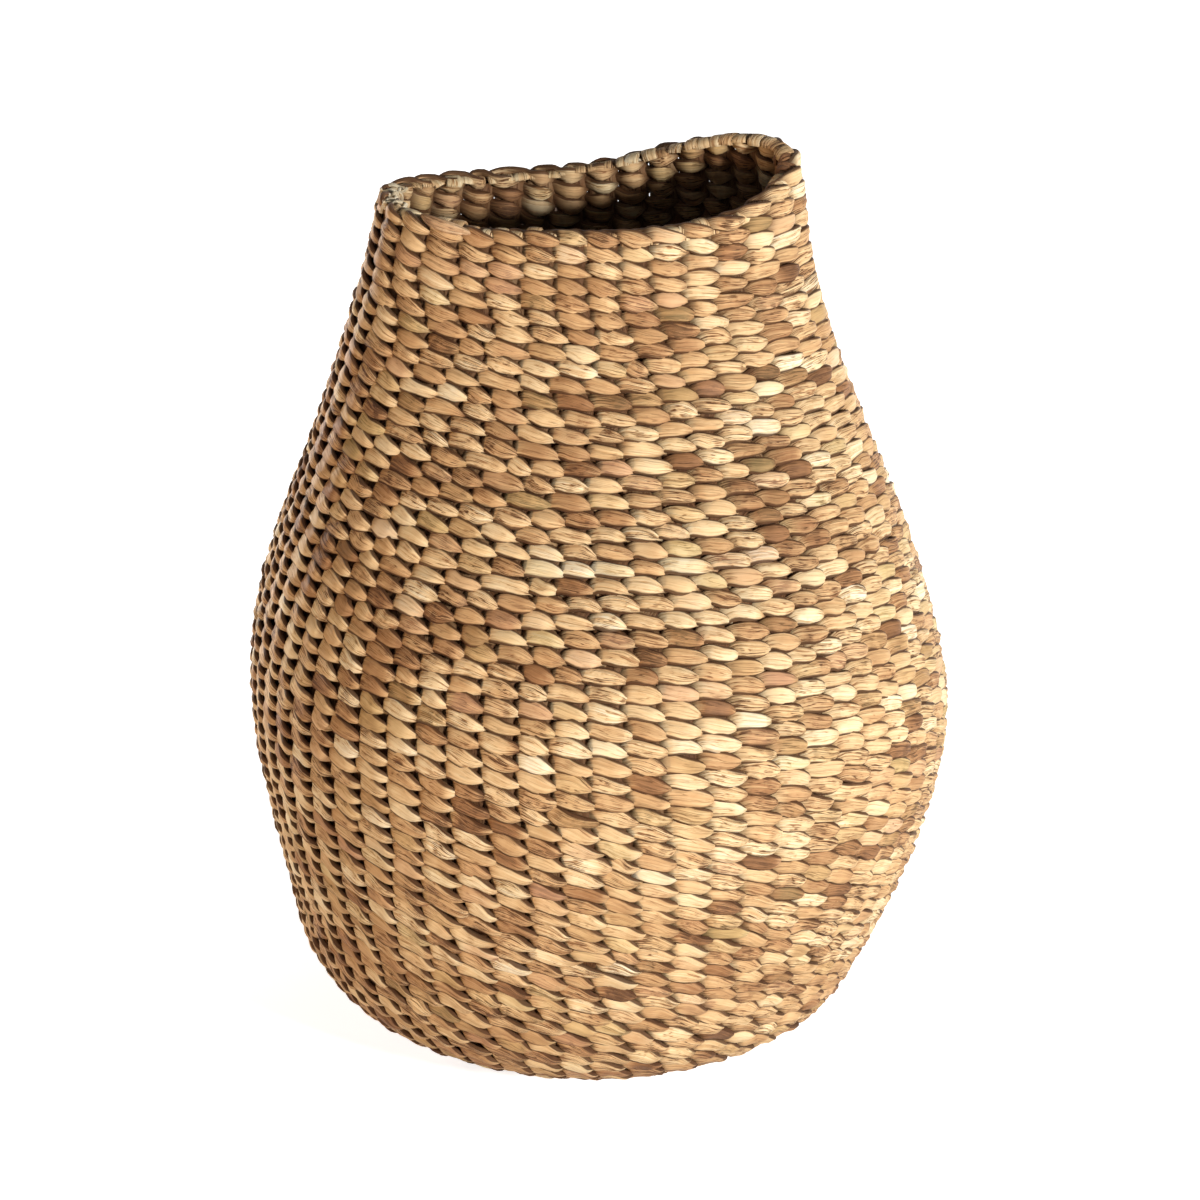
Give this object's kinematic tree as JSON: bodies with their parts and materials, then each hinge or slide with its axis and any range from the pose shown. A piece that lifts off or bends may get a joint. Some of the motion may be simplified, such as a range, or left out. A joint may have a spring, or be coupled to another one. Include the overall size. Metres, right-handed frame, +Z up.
{
  "type": "planter basket",
  "caption": "Tall twined plant basket of dried stalks, with a wide belly, a flattened mouth with a wavy rim, and a flat base.",
  "frame": {"origin": "under the middle of the base, on the floor, midway between the belly's widest points", "axes": "+Z up, +X to the right along the mouth's long way towards the higher end of the rim, +Y to the back"},
  "size_m": [0.3521, 0.3512, 0.4556],
  "materials": {
    "twined_strands": "dried water hyacinth strands, straw to tan, dull with a faint sheen along the fibres",
    "border_strands": "folded stake ends under the last twined strands, pale straw, dull",
    "stakes": "dried stalks under the strands, brown, dull",
    "crossed_stakes": "dried stalks crossed in the base, tan, dull"
  },
  "bodies": {
    "root": {"base_cross_lower": "crossed_stakes", "base_cross_upper": "crossed_stakes", "base_rounds": "twined_strands", "base_edge_courses_01": "twined_strands", "base_edge_courses_02": "twined_strands", "base_edge_courses_03": "twined_strands", "wall_courses_01": "twined_strands", "wall_courses_02": "twined_strands", "wall_courses_03": "twined_strands", "wall_courses_04": "twined_strands", "wall_courses_05": "twined_strands", "wall_courses_06": "twined_strands", "wall_courses_07": "twined_strands", "wall_courses_08": "twined_strands", "wall_courses_09": "twined_strands", "wall_courses_10": "twined_strands", "wall_courses_11": "twined_strands", "wall_courses_12": "twined_strands", "wall_courses_13": "twined_strands", "wall_courses_14": "twined_strands", "wall_courses_15": "twined_strands", "wall_courses_16": "twined_strands", "wall_courses_17": "twined_strands", "stake_01": "stakes", "stake_02": "stakes", "stake_03": "stakes", "stake_04": "stakes", "stake_05": "stakes", "stake_06": "stakes", "stake_07": "stakes", "stake_08": "stakes", "stake_09": "stakes", "stake_10": "stakes", "stake_11": "stakes", "stake_12": "stakes", "stake_13": "stakes", "stake_14": "stakes", "stake_15": "stakes", "stake_16": "stakes", "stake_17": "stakes", "stake_18": "stakes", "stake_19": "stakes", "stake_20": "stakes", "stake_21": "stakes", "stake_22": "stakes", "stake_23": "stakes", "stake_24": "stakes", "stake_25": "stakes", "stake_26": "stakes", "stake_27": "stakes", "stake_28": "stakes", "stake_29": "stakes", "stake_30": "stakes", "stake_31": "stakes", "stake_32": "stakes", "rim_border": "border_strands"}
  },
  "joints": []
}
